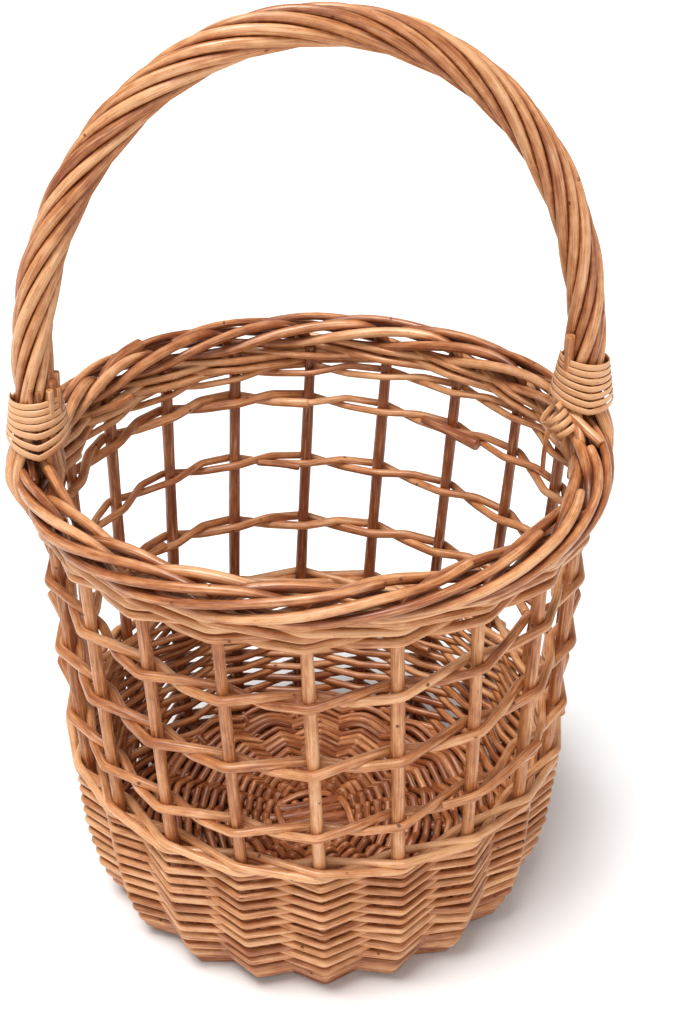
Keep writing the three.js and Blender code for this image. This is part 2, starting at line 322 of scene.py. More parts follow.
def piece(name, rods, material, nodes=(), body="root"):
    """One mesh of all these rods, riding on the body and standing for the CAD nodes."""
    counts = np.cumsum([0] + [len(r["points"]) for r in rods])[:-1]
    quads = np.concatenate([r["quads"] + first for r, first in zip(rods, counts)])
    caps = np.concatenate([r["caps"] + first for r, first in zip(rods, counts)])
    points = np.concatenate([r["points"] for r in rods])
    mesh = bpy.data.meshes.new(name)
    mesh.vertices.add(len(points))
    mesh.vertices.foreach_set("co", points.astype(np.float32).ravel())
    mesh.loops.add(quads.size + caps.size)
    mesh.loops.foreach_set("vertex_index", np.concatenate([quads.ravel(), caps.ravel()]).astype(np.int32))
    starts = np.concatenate([np.arange(len(quads)) * 4, quads.size + np.arange(len(caps)) * 3])
    mesh.polygons.add(len(quads) + len(caps))
    mesh.polygons.foreach_set("loop_start", starts.astype(np.int32))
    smooth = np.concatenate([np.ones(len(quads), bool), np.zeros(len(caps), bool)])
    mesh.polygons.foreach_set("use_smooth", smooth)
    own = mesh.attributes.new("rod_place", "FLOAT_VECTOR", "POINT")
    own.data.foreach_set("vector", np.concatenate([r["own"] for r in rods]).astype(np.float32).ravel())
    for key in ("shade", "cut"):
        attribute = mesh.attributes.new("rod_" + key, "FLOAT", "POINT")
        attribute.data.foreach_set("value", np.concatenate([r[key] for r in rods]).astype(np.float32))
    mesh.update(calc_edges=True)
    mesh.validate()
    mesh.materials.append(material)
    made = bpy.data.objects.new(name, mesh)
    bpy.context.scene.collection.objects.link(made)
    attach(made, body)
    if nodes:
        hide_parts(*nodes)


# ---- materials ----
FINISHES = {
    # warmth, which moves the whole piece towards russet, and the roughness of the clean skin
    "willow_base": (0.58, 0.46),
    "willow_stake": (0.5, 0.38),
    "willow_weaver": (0.45, 0.38),
    "willow_border": (0.5, 0.38),
    "willow_handle": (0.55, 0.38),
    "willow_skein": (0.4, 0.34),
}


def willow(name):
    """Willow skin. The rod's own shade, which also holds the painted shade in grooves and at the back,
    slow patches along it, blotches and fine streaks are added up, with a painted shade on whatever
    lies well inside the wall, and the sum takes the colour from pale through tan and russet to deep.
    Worn scuffs, partly wear and partly painted highlight, lie over that, then bud scars in the middle
    of long cells, small marks, and the tan of a cut end. The streaks and the dark marks also drive
    the roughness and the bump."""
    found = bpy.data.materials.get(name)
    if found:
        return found
    warmth, roughness = FINISHES[name]
    material = bpy.data.materials.new(name)
    material.use_nodes = True
    tree = material.node_tree
    shader = tree.nodes["Principled BSDF"]
    shader.inputs["Coat Weight"].default_value = 0.22
    shader.inputs["Coat Roughness"].default_value = 0.28

    def put(socket, value):
        """Links what comes from another node, and sets a number or a colour."""
        if isinstance(value, bpy.types.NodeSocket):
            tree.links.new(value, socket)
        else:
            socket.default_value = value

    def new(kind, **inputs):
        """A new node, its inputs given by name."""
        made = tree.nodes.new(kind)
        for key, value in inputs.items():
            put(made.inputs[key.replace("_", " ")], value)
        return made

    def attribute(key, output):
        """What the mesh holds under this key."""
        made = tree.nodes.new("ShaderNodeAttribute")
        made.attribute_name = key
        return made.outputs[output]

    def maths(operation, *values, kind="ShaderNodeMath", output=0):
        """One operation on these values."""
        made = tree.nodes.new(kind)
        made.operation = operation
        for socket, value in zip(made.inputs, values):
            put(socket, value)
        return made.outputs[output]

    def length(vector):
        """The square root of the sum of the squares of its three parts."""
        return maths("LENGTH", vector, kind="ShaderNodeVectorMath", output="Value")

    def pattern(across, along, detail):
        """Noise in the rod's own straightened space, drawn out along it."""
        scaled = new("ShaderNodeMapping", Vector=rod_place, Scale=(across, across, along)).outputs[0]
        return new("ShaderNodeTexNoise", Vector=scaled, Scale=1.0, Detail=detail).outputs[0]

    def between(value, low, high, to_low=0.0, to_high=1.0):
        """The value's share of the way from low to high, held inside them, taken to a new range."""
        return new("ShaderNodeMapRange", Value=value, From_Min=low, From_Max=high,
                   To_Min=to_low, To_Max=to_high).outputs[0]

    def mixed(share, a, b):
        """The colour this share of the way from a to b."""
        made = tree.nodes.new("ShaderNodeMix")
        made.data_type = "RGBA"
        for index, value in ((0, share), (6, a), (7, b)):
            put(made.inputs[index], value)
        return made.outputs[2]

    c = colours()
    skin = (c.pale, c.tan, c.russet, c.deep, c.worn_and_sheen, c.bud)
    pale, tan, russet, deep, worn_and_sheen, bud = ((*colour, 1) for colour in skin)
    rod_place = attribute("rod_place", "Vector")

    # bud scars: a small spot at the point of each long cell
    bud_cell = (6 * MM, 6 * MM, 34 * MM)
    bud_edge, bud_heart = 1.15 * MM, 0.45 * MM
    shrunk = tuple(1 / side for side in bud_cell)
    cell_place = new("ShaderNodeMapping", Vector=rod_place, Scale=shrunk).outputs[0]
    cell_point = new("ShaderNodeTexVoronoi", Vector=cell_place, Scale=1.0).outputs["Position"]
    away = maths("SUBTRACT", cell_place, cell_point, kind="ShaderNodeVectorMath")
    away = maths("MULTIPLY", away, bud_cell, kind="ShaderNodeVectorMath")
    bud_spot = between(length(away), bud_edge, bud_heart)

    # cycles for each metre across and along the rod, and detail
    patches = pattern(180, 14, 2.0)
    streaks = pattern(1900, 45, 4.0)
    blotches = pattern(420, 160, 3.0)
    scuffs = pattern(1100, 60, 3.0)
    specks = pattern(1900, 700, 2.0)

    # how dark the skin is
    shade = attribute("rod_shade", "Fac")
    for layer, low, high, strength in (
        (patches, 0.3, 0.7, 0.28),
        (streaks, 0.28, 0.72, 0.34),
        (blotches, 0.3, 0.7, 0.2),
    ):
        shade = maths("ADD", shade, between(layer, low, high, -strength, strength))
    shade = maths("ADD", shade, warmth - 0.5)
    # painted shade: the colour darkens from wall_side to well_inside off the axis, over the inside of the
    # wall and the base
    wall_side, well_inside, inside_painted_shade = 98 * MM, 92 * MM, 0.3
    place_here = new("ShaderNodeTexCoord").outputs["Object"]
    level_place = new("ShaderNodeMapping", Vector=place_here, Scale=(1, 1, 0)).outputs[0]
    inside = between(length(level_place), wall_side, well_inside, 0.0, inside_painted_shade)
    shade = maths("ADD", shade, inside)

    # the colours, from the skin up to its marks
    colour = mixed(between(shade, 0.1, 0.5), pale, tan)
    colour = mixed(between(shade, 0.5, 1.0), colour, russet)
    colour = mixed(between(shade, 1.05, 1.7), colour, deep)
    # scuffs: partly wear, partly painted highlight
    colour = mixed(between(scuffs, 0.56, 0.72, 0.0, 0.45), colour, worn_and_sheen)
    scar = maths("MULTIPLY", bud_spot, between(specks, 0.36, 0.54))
    marks = between(specks, 0.66, 0.75, 0.0, 0.6)
    dark = maths("MAXIMUM", between(scar, 0.2, 0.6, 0.0, 0.9), marks)
    colour = mixed(dark, colour, bud)
    colour = mixed(maths("MULTIPLY", attribute("rod_cut", "Fac"), 0.5), colour, tan)
    put(shader.inputs["Base Color"], colour)

    # the roughness and the bump
    rough = between(streaks, 0.3, 0.7, roughness - 0.08, roughness + 0.14)
    put(shader.inputs["Roughness"], maths("ADD", rough, maths("MULTIPLY", dark, 0.3)))
    height = maths("ADD", streaks, maths("MULTIPLY", dark, -0.8))
    bump = new("ShaderNodeBump", Height=height, Strength=0.35, Distance=0.25 * MM)
    put(shader.inputs["Normal"], bump.outputs[0])
    return material


# ---- base ----
def slath_turn():
    """The angle of the first spoke. Each stake's foot lies beside its own spoke."""
    return float(stake_angle(0, sizes().base_height)) - BESIDE_STAKE


def base_level(radius):
    """The base's middle surface: a shallow crown that falls with the square of the radius, and past
    the rim a straight rise with the bend of the stakes."""
    s, rim_rise = sizes(), 0.5
    crown = s.base_crown * (1 - np.minimum(radius / CROWN_EDGE, 1) ** 2)
    return s.base_height + crown + rim_rise * np.maximum(radius - BASE_RIM, 0)


class BASKET_OT_base_sticks(bpy.types.Operator):
    """Lays the ten base sticks: five pierced, five passed through them, opened out to spokes"""

    bl_idname = "basket.base_sticks"
    bl_label = "Base sticks"

    def execute(self, context):
        s, rng = sizes(), np.random.default_rng(11)
        spread = 2 * math.pi / s.stakes
        gap = 5.2 * MM
        crossing = np.array([14, 0, -14]) * MM
        opened = np.array([36, 54, 77]) * MM
        for quarter, kind in enumerate(("passed", "pierced")):
            turn = slath_turn() + quarter * math.pi / 2
            for number in range(5):
                fan = (number - 2) * spread
                beside = (number - 2) * gap
                middle = np.stack([np.full(3, beside), crossing, np.zeros(3)], axis=1)
                cos, sin = math.cos(turn), math.sin(turn)
                middle = middle @ np.array([[cos, sin, 0], [-sin, cos, 0], [0, 0, 1]])
                points = np.concatenate([place(turn + math.pi - fan, opened[::-1], 0), middle,
                                         place(turn + fan, opened, 0)])
                points[:, 2] = base_level(np.hypot(points[:, 0], points[:, 1]))
                line = bent_line(points, 12 * MM, 4 * MM)
                # a bell round the crossing, where one kind is pared thin and the other is split wide
                crossed = np.exp(-((np.linspace(-1, 1, len(line)) / 0.17) ** 2))
                thickness = 1 - 0.45 * crossed if kind == "passed" else 1 + 0.3 * crossed
                rods = [swept(line, s.stick_radius * thickness, rng.uniform(0.5, 0.9), rng, 12)]
                node = f"{kind}_base_stick_{number + 1}"
                piece("willow_" + node, rods, willow("willow_base"), [node])
        return {"FINISHED"}


class BASKET_OT_base_weave(bpy.types.Operator):
    """Ties the slath and pairs the base out to its edge"""

    bl_idname = "basket.base_weave"
    bl_label = "Base weave"

    def execute(self, context):
        s, rng = sizes(), np.random.default_rng(12)
        turn, rods = slath_turn(), []
        reach = s.stick_radius + 1.6 * MM
        # the tie: from each arm of the cross to the next, in a square that grows a little each round
        tie_rounds, tie_corner = 2, 1.34
        quarter = np.arange(4 * tie_rounds + 1)
        radius = (15.2 + 0.8 * quarter / 4) * MM
        for side in (1, -1):
            lift = side * np.where(quarter % 2 == 0, 1, -1) * (reach + 0.3 * MM)
            cross = place(turn + quarter * math.pi / 2, radius, base_level(radius) + lift)
            corner = place(turn + (quarter + 0.5) * math.pi / 2, radius * tie_corner, base_level(radius))
            tie = np.stack([cross, corner], axis=1).reshape(-1, 3)[:-1]
            rods.append(swept(bent_line(tie, 5 * MM), [1.3 * MM], 0.45, rng, 9))
        # the pairing: a spiral, over one spoke and under the next. Near the edge each stroke also
        # passes the stake that lies beside its spoke
        rounds, pitch, first = 14.85, 4.55 * MM, 19.5 * MM
        stakes_from, fade = 66 * MM, 4 * MM
        spoke = np.arange(int(rounds * s.stakes) + 1)
        radius = first + pitch * spoke / s.stakes
        beside = BESIDE_STAKE * np.clip((radius - stakes_from) / fade, 0.01, 1)
        for side in (1, -1):
            over = side * np.where(spoke % 2 == 0, 1, -1) * reach
            jitter = rng.normal(0, 0.4 * MM, (2, len(spoke)))
            turns = turn + 2 * math.pi / s.stakes * spoke[:, None] + beside[:, None] * np.array([0, 1])
            level = (base_level(radius) + over + jitter[1])[:, None]
            points = place(turns, (radius + jitter[0])[:, None], level)
            # a new rod every 27 spokes, the partner's 18 spokes before
            cuts = [0, *(20 + 27 * np.arange(9) + 9 * side), len(points) - 1]
            for start, end in zip(cuts[:-1], cuts[1:]):
                butt, tip = rng.uniform(1.8, 2.1) * MM, rng.uniform(1.5, 1.75) * MM
                line = bent_line(points[start:end + 1].reshape(-1, 3), 5.5 * MM)
                rods.append(swept(line, np.linspace(butt, tip, 8), rng.uniform(0.3, 0.95), rng, 8))
        piece("willow_base_pairing", rods, willow("willow_base"), ["base_weave"])
        return {"FINISHED"}


# ---- wall ----
class BASKET_OT_stakes(bpy.types.Operator):
    """Sets the side stakes: out along the base, up at its edge and along the wall to the border"""

    bl_idname = "basket.stakes"
    bl_label = "Side stakes"

    def execute(self, context):
        s, rng = sizes(), np.random.default_rng(21)
        heights = np.array([16, 30, 50, 75, 110, 150, 185, 199]) * MM
        # painted shade: the stakes nearer the back are darker
        back_painted_shade = 0.38
        for i in range(s.stakes):
            foot = stake_angle(i, s.base_height)
            low = place(foot, np.array([69, 81.5, wall_radius(9 * MM) / MM - 0.6]) * MM,
                        np.array([s.base_height, s.base_height, 9.5 * MM]))
            high = at_stake(i, rng.normal(0, 0.25 * MM, len(heights)), heights)
            line = bent_line(np.concatenate([low, high]), 12 * MM)
            tangential = np.array([math.cos(foot), math.sin(foot), 0])
            radii = s.stake_radius * rng.uniform(0.94, 1.08) * np.linspace(1.04, 0.98, 6)
            shade = rng.uniform(0.3, 0.6) + back_painted_shade * (1 - math.cos(foot))
            rods = [swept(line, radii, shade, rng, 12, tangential)]
            name = f"stake_{i + 1:02d}"
            piece("willow_" + name, rods, willow("willow_stake"), [name])
        return {"FINISHED"}


def waled(first, last, level, climb, radius, rng, shades):
    """Three-rod wale from stake first to stake last: each rod passes outside two stakes, high at the
    first and low at the second, and inside the third. The level climbs evenly for each round."""
    s, rods = sizes(), []
    clearance, apart = 0.3 * MM, 0.85 * radius
    reach = s.stake_radius + radius + clearance
    for rod in range(3):
        stake = np.arange(first + rod, last + rod + 1).astype(float)
        stroke = np.arange(len(stake)) % 3
        out = np.choose(stroke, [reach, reach, -reach]) + rng.normal(0, STRAY_OUT, len(stake))
        lift = np.choose(stroke, [apart, -apart, 0.0])
        height = level + climb * (stake - first) / s.stakes + lift + rng.normal(0, STRAY_UP, len(stake))
        rods += woven(stake, out, height, radius, rng, shades, corner=3 * MM, sides=10)
    return rods


def randed(low, high, pitches, radii, side, first, rng, level_start=False):
    """One of two weavers that chase each other up the wall, each before a stake and behind the
    next. The pitch goes evenly from the first of pitches to the second, so the height is a
    quadratic in the rounds. side is 1 for the weaver that starts outside and -1 for its partner,
    which starts half a round later. With level_start each lies level for its first half round,
    so the two of them make a level foot."""
    s, clearance = sizes(), 0.7 * MM
    total = 2 * (high - low) / sum(pitches)
    step = np.arange(round(total * s.stakes) + 1)
    rounds = step / s.stakes
    radius = np.interp(rounds, [0, total], radii)
    out = side * np.where(step % 2 == 0, 1, -1) * (s.stake_radius + radius + clearance)
    height = low + pitches[0] * rounds + (pitches[1] - pitches[0]) * rounds**2 / (2 * total)
    if level_start:
        height[rounds < 0.5] = low
    height = height + rng.normal(0, STRAY_UP, len(step))
    first = first if side > 0 else first + s.stakes / 2
    out = out + rng.normal(0, STRAY_OUT, len(step))
    return woven((first + step).astype(float), out, height, radius, rng, (0.3, 0.75),
                 span=23, corner=1.2 * MM)


class BASKET_OT_wales(bpy.types.Operator):
    """Works the upsett, the wale over the randing and the wale and pairing under the border"""

    bl_idname = "basket.wales"
    bl_label = "Upsett and wales"

    def execute(self, context):
        s, rng = sizes(), np.random.default_rng(31)
        foot, rounds = 2.2 * MM, 2.5
        pitch = (UPSETT_TOP - foot) / rounds
        upsett = []
        for side in (1, -1):
            upsett += randed(low=foot, high=UPSETT_TOP, pitches=(pitch, pitch), radii=(1.95 * MM, 1.9 * MM),
                             side=side, first=4, rng=rng, level_start=True)
        piece("willow_upsett", upsett, willow("willow_weaver"), ["upsett"])
        middle = (LOWER_WEAVE_TOP + LOWER_WALE_TOP) / 2
        lower = waled(first=4, last=25, level=middle + 0.4 * MM, climb=0.6 * MM,
                      radius=s.wale_radius, rng=rng, shades=(0.25, 0.7))
        piece("willow_lower_wale", lower, willow("willow_weaver"), ["lower_wale"])
        upper = waled(first=8, last=47, level=UPPER_WALE_LOW + 5.2 * MM, climb=4.6 * MM,
                      radius=1.8 * MM, rng=rng, shades=(0.2, 0.75))
        piece("willow_upper_wale", upper, willow("willow_weaver"), ["upper_wale"])
        pairing = []
        for side in (1, -1):
            pairing += twined(height=UPPER_WALE_LOW + 1.6 * MM, side=side, radius=1.75 * MM,
                              first=13, overlap=1.5, rng=rng, rise=lambda angle: 0)
        piece("willow_upper_pairing", pairing, willow("willow_weaver"))
        return {"FINISHED"}


class BASKET_OT_randing(bpy.types.Operator):
    """Weaves the closed lower wall: two weavers, each before one stake and behind the next"""

    bl_idname = "basket.randing"
    bl_label = "Randing"

    def execute(self, context):
        s, rng = sizes(), np.random.default_rng(41)
        # the rods get thinner and lie closer on the way up
        low, high = UPSETT_TOP + 0.4 * MM, LOWER_WEAVE_TOP + 1.0 * MM
        pitches = (1.13 * s.weave_pitch, 0.87 * s.weave_pitch)
        radii = (1.13 * s.weaver_radius, 0.85 * s.weaver_radius)
        for side, name in ((1, "first"), (-1, "second")):
            rods = randed(low, high, pitches, radii, side, first=14, rng=rng)
            nodes = ["lower_weave"] if side > 0 else []
            piece(f"willow_{name}_randing_weaver", rods, willow("willow_weaver"), nodes)
        return {"FINISHED"}


def row_rise(angle):
    """How the open rows rise and fall round the basket: the cosine of one wave in a round, added to
    the cosine of two in a round, each from the angle where it is highest."""
    once, twice = 6 * MM, 4 * MM
    once_high, twice_high = math.radians(186), math.radians(52)
    return once * np.cos(angle - once_high) + twice * np.cos(2 * (angle - twice_high))


def twined(height, side, radius, first, overlap, rng, rise=row_rise):
    """One weaver of a pair twisted half a turn between stakes: it is outside a stake, above its
    partner half-way to the next, inside that stake, and below its partner after it, which is a
    cosine outwards and a sine upwards. side is 1 for the weaver that starts outside and -1 for its
    partner. Each goes once round and overlaps its own start by this many stakes."""
    s = sizes()
    clearance, lift = 0.1 * MM, 0.95 * radius
    reach = s.stake_radius + radius + clearance
    stake = first + np.arange(0, s.stakes + overlap, 0.5)
    level = height + rise(stake_angle(stake, height))
    jitter = rng.normal(0, STRAY_UP, (2, len(stake)))
    out = side * reach * np.cos(math.pi * (stake - first)) + jitter[0]
    up = side * lift * np.sin(math.pi * (stake - first)) + jitter[1]
    line = bent_line(at_stake(stake, out, level + up), 2.6 * MM, 5 * MM)
    radii = radius * np.linspace(rng.uniform(1.08, 1.2), rng.uniform(0.75, 0.88), 8)
    return [swept(line, radii, rng.uniform(0.3, 0.8), rng, 12)]


class BASKET_OT_fitching(bpy.types.Operator):
    """Twists the three open rows, a pair of weavers to each"""

    bl_idname = "basket.fitching"
    bl_label = "Fitching"

    def execute(self, context):
        s, rng = sizes(), np.random.default_rng(51)
        # the stake at which each row begins
        starts = (5, 14, 9)
        for row, (height, start) in enumerate(zip(OPEN_ROWS, starts), 1):
            for side, name in ((1, "first"), (-1, "second")):
                node = f"fitch_{row}_{name}_weaver"
                rods = twined(height, side, s.fitch_radius, start, overlap=1, rng=rng)
                piece("willow_" + node, rods, willow("willow_weaver"), [node])
        return {"FINISHED"}


# ---- border ----
def border_points(stake, rng):
    """A stake top's route through the border. It turns to the next stake over the inner edge, runs
    behind two, comes out below to the outside, and climbs over two or three more to the top. Its
    end is tucked in, but on the front right it stays proud of the top."""
    steps = np.array([0, 0.06, 0.3, 0.85, 1.5, 2.1, 2.6, 3.2, 4.0, 4.8, 5.4, 5.85])
    front_right = math.radians(55)
    proud = math.cos(stake_angle(stake + steps[-1], BORDER_HIGH) - front_right) > 0.6
    # millimetres outside and above the middle of the border, one for each step
    across = np.array([0, 0, -1.2, -5.0, -6.9, -5.6, 0, 5.4, 7.2, 5.0, 1.6, -2.2 if proud else 0.4]) * MM
    up = np.array([-9, -3, 3.6, 5.4, 1.6, -4.0, -6.2, -4.4, 0.4, 4.8, 6.0, 5.9 if proud else 2.4]) * MM
    jitter = rng.normal(0, 0.35 * MM, (2, len(steps)))
    jitter[:, :2] = 0
    height = BORDER_MIDDLE + up + jitter[0]
    return place(stake_angle(stake + steps, BORDER_MIDDLE), BORDER_RING + across + jitter[1], height)


class BASKET_OT_border(bpy.types.Operator):
    """Rolls the stake tops down into the border, each behind two, before two and over the rest"""

    bl_idname = "basket.border"
    bl_label = "Border"

    def execute(self, context):
        s, rng = sizes(), np.random.default_rng(61)
        rods = []
        # the grooves get painted shade: it grows evenly from this far off the border's middle inwards
        groove_from, groove_deep, groove_painted_shade = 7.9 * MM, 3 * MM, 0.8
        for i in range(s.stakes):
            line = bent_line(border_points(i, rng), 20 * MM, 5 * MM)
            outward = unit(line * (1, 1, 0))
            radii = s.border_radius * rng.uniform(0.93, 1.07) * np.linspace(1.12, 0.85, 8)
            rod = swept(line, radii, rng.uniform(0.25, 0.8), rng, 12, outward)
            out = np.hypot(rod["points"][:, 0], rod["points"][:, 1]) - BORDER_RING
            from_middle = np.hypot(out, rod["points"][:, 2] - BORDER_MIDDLE)
            rod["shade"] += groove_painted_shade * np.clip((groove_from - from_middle) / groove_deep, 0, 1)
            rods.append(rod)
        piece("willow_border", rods, willow("willow_border"), ["border"])
        return {"FINISHED"}


# ---- handle ----
HANDLE_SPAN = 109.2 * MM
HANDLE_SPRING = 244 * MM
HANDLE_TOP = 377 * MM
ROPE_FOOT = 226 * MM


def bow_line(leg_end, count):
    """The bow's middle: straight legs under half an ellipse, from the -X foot to the +X foot, as
    count points spread evenly along it. leg_end is the height of both feet."""
    turn = np.linspace(math.pi, 0, 161)
    x = HANDLE_SPAN * np.cos(turn)
    z = HANDLE_SPRING + (HANDLE_TOP - HANDLE_SPRING) * np.sin(turn)
    x = np.concatenate([[-HANDLE_SPAN], x, [HANDLE_SPAN]])
    z = np.concatenate([[leg_end], z, [leg_end]])
    points = np.stack([x, 0 * x, z], axis=1)
    along = run_of(points)
    return points_at(np.linspace(0, along[-1], count), along, points)


def tail_points(sign, turn, rng):
    """A rope rod below its binding: over the border's outside or inside and down along the wall. It
    spreads sideways with the sine of its turn round the bow, and reaches out with the cosine."""
    outward = math.cos(turn)
    side = 1 if outward > 0 else -1
    # millimetres at four points, from the binding down
    heights = np.array([212.5, 205, 197, 189]) * MM
    reaches = np.array([8.6, 10.6, 7.6, 1.5]) if side > 0 else np.array([9.0, 10.4, 7.0, 1.0])
    spread = np.array([10, 12.5, 15, 17]) * MM * math.sin(turn) * rng.uniform(0.7, 1.05)
    middle = BORDER_OUTSIDE - 8.8 * MM
    reach = side * reaches * MM * (0.55 + 0.45 * abs(outward))
    return np.stack([sign * (middle + reach), -spread, heights], axis=1)


class BASKET_OT_handle(bpy.types.Operator):
    """Bends the bow and twists the long rods round it, their tails over the border"""

    bl_idname = "basket.handle"
    bl_label = "Handle"

    def execute(self, context):
        s, rng = sizes(), np.random.default_rng(71)
        core = bow_line(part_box("handle_bow")[0].z, 260)
        # painted shade: the bow is coloured dark so the gaps between the rope rods read as shade
        core_painted_shade, slimmer = 1.3, 0.9
        bow = [swept(core, [s.core_radius * slimmer], core_painted_shade, rng, 12, (0, 1, 0))]
        piece("willow_handle_bow", bow, willow("willow_handle"), ["handle_bow"])
        count = 330
        wobble, wobbles = 0.25 * MM, 23
        foot_painted_shade, groove_painted_shade = 0.34, 1.2
        share = np.linspace(0, 1, count)
        middle = bow_line(ROPE_FOOT, count)
        tangent = unit(np.gradient(middle, axis=0))
        outward = np.stack([-tangent[:, 2], 0 * share, tangent[:, 0]], axis=1)
        # the eight rods' radii at the left foot, and at the right
        left = np.array([2.5, 2.0, 2.4, 1.9, 2.6, 2.15, 2.45, 2.0]) * MM
        right = np.array([2.05, 2.5, 1.95, 2.4, 1.9, 2.5, 2.1, 2.55]) * MM
        radii = left[:, None] + (right - left)[:, None] * share
        # each rod takes up twice the arc sine of its radius over the ring's, and they fill the ring
        ring = s.core_radius + radii
        width = 2 * np.arcsin(radii / ring)
        width *= 2 * math.pi / width.sum(0)
        places = np.cumsum(width, axis=0) - width / 2 + 2 * math.pi * s.rope_turns * share
        for node, (turn, reach, radius) in enumerate(zip(places, ring, radii), 1):
            reach = reach + wobble * np.sin(share * wobbles + turn[0])
            line = middle + (reach * np.cos(turn))[:, None] * outward
            line[:, 1] -= reach * np.sin(turn)
            tails = [tail_points(-1, turn[0], rng)[::-1], tail_points(1, turn[-1], rng)]
            line = bent_line(np.concatenate([tails[0], line, tails[1]]), 20 * MM, 9 * MM)
            rod = swept(line, radius * 0.965, rng.uniform(-0.1, 0.38), rng, 12, (0, 1, 0))
            # painted shade: darker in the grooves next to the core, and towards the feet
            points = rod["points"]
            from_core = np.sqrt(((points[:, None] - middle[::3]) ** 2).sum(2).min(1))
            groove = np.clip((reach.mean() - from_core) / radius.mean() + 0.8, 0, 1)
            low = np.clip((HANDLE_TOP - points[:, 2]) / (HANDLE_TOP - ROPE_FOOT), 0, 1)
            rod["shade"] += foot_painted_shade * low + groove_painted_shade * groove**1.5 * (points[:, 2] > ROPE_FOOT)
            name = f"handle_rod_{node}"
            piece("willow_" + name, [rod], willow("willow_handle"), [name])
        return {"FINISHED"}


def wrapped(sign, top, pitch, sags, wide, deep, tilt):
    """A skein wound down the handle's foot: an ellipse in plan that widens with every turn, and is
    higher by tilt on the basket's side. At the front it sags in a V, deeper from turn to turn.
    pitch and sags have a figure for each turn, wide and deep one for the first turn and one for
    the last, all of them and top in millimetres."""
    turns, start, v_reach = len(pitch), -0.6 * math.pi, 1.25
    turn = np.linspace(start, 2 * math.pi * turns + start, 40 * turns)
    count = np.linspace(0, turns, len(turn))
    front = np.abs((turn + math.pi) % (2 * math.pi) - math.pi)
    sag = np.interp(count, np.arange(turns), sags) * np.clip(1 - front / v_reach, 0, 1)
    drop = np.interp(count, np.arange(turns + 1), np.cumsum([0, *pitch]))
    across = wide[0] + (wide[1] - wide[0]) * count / turns
    depth = deep[0] + (deep[1] - deep[0]) * count / turns
    x = sign * HANDLE_SPAN + across * np.sin(turn) * MM
    height = (top - drop - sag - sign * tilt * np.sin(turn)) * MM
    return np.stack([x, -depth * np.cos(turn) * MM, height], axis=1)


class BASKET_OT_bindings(bpy.types.Operator):
    """Binds each handle foot with flat skein, wide at the border and narrow at the top"""

    bl_idname = "basket.bindings"
    bl_label = "Handle bindings"

    def execute(self, context):
        s, rng = sizes(), np.random.default_rng(81)
        skein, half = willow("willow_skein"), s.skein_width / 2
        left = wrapped(-1, top=238.4, pitch=[2.5, 2.5, 2.5, 2.5, 2.5, 2.9, 2.6],
                       sags=[0, 0.3, 0.6, 1.0, 1.6, 4.2, 6.0],
                       wide=(9.8, 12.6), deep=(9.4, 12.2), tilt=1.2)
        rods = [swept(left, [half], 0.1, rng, 10, flat=0.3)]
        piece("willow_binding_left", rods, skein, ["handle_binding_left"])
        right = wrapped(1, top=239.8, pitch=[2.6, 2.6, 2.6, 2.6, 2.7, 2.7, 2.7],
                        sags=[0, 0.3, 0.7, 1.2, 1.8, 2.4, 3.0],
                        wide=(9.8, 13.0), deep=(9.4, 12.2), tilt=0.8)
        # the lashing over the border: a coil about its own slanting axis, and a hanging end
        turn = np.linspace(-0.3 * math.pi, 7.2 * math.pi, 170)[:, None]
        per_turn, half_wide, half_deep = 3.5 * MM, 5.6 * MM, 6.4 * MM
        lash = unit(np.array([0.62, -0.3, -0.72]))
        side = unit(np.cross(lash, (0, 1, 0)))
        middle = np.array([95.4, -5.0, 218.5]) * MM + lash * per_turn * turn / (2 * math.pi)
        coil = middle + half_wide * np.cos(turn) * side + half_deep * np.sin(turn) * np.cross(side, lash)
        tail = np.array([[93.5, -9.5, 212], [92.6, -10.0, 205], [92.6, -9.0, 197], [93.2, -8.0, 191.5]])
        tail = bent_line(tail * MM, 8 * MM)
        rods = [swept(right, [half], 0.1, rng, 10, flat=0.3),
                swept(coil, [half], 0.15, rng, 10, lash, flat=0.3),
                swept(tail, [0.8 * half], 0.3, rng, 10, (1, 0, 0), flat=0.4)]
        piece("willow_binding_right", rods, skein, ["handle_binding_right"])
        return {"FINISHED"}


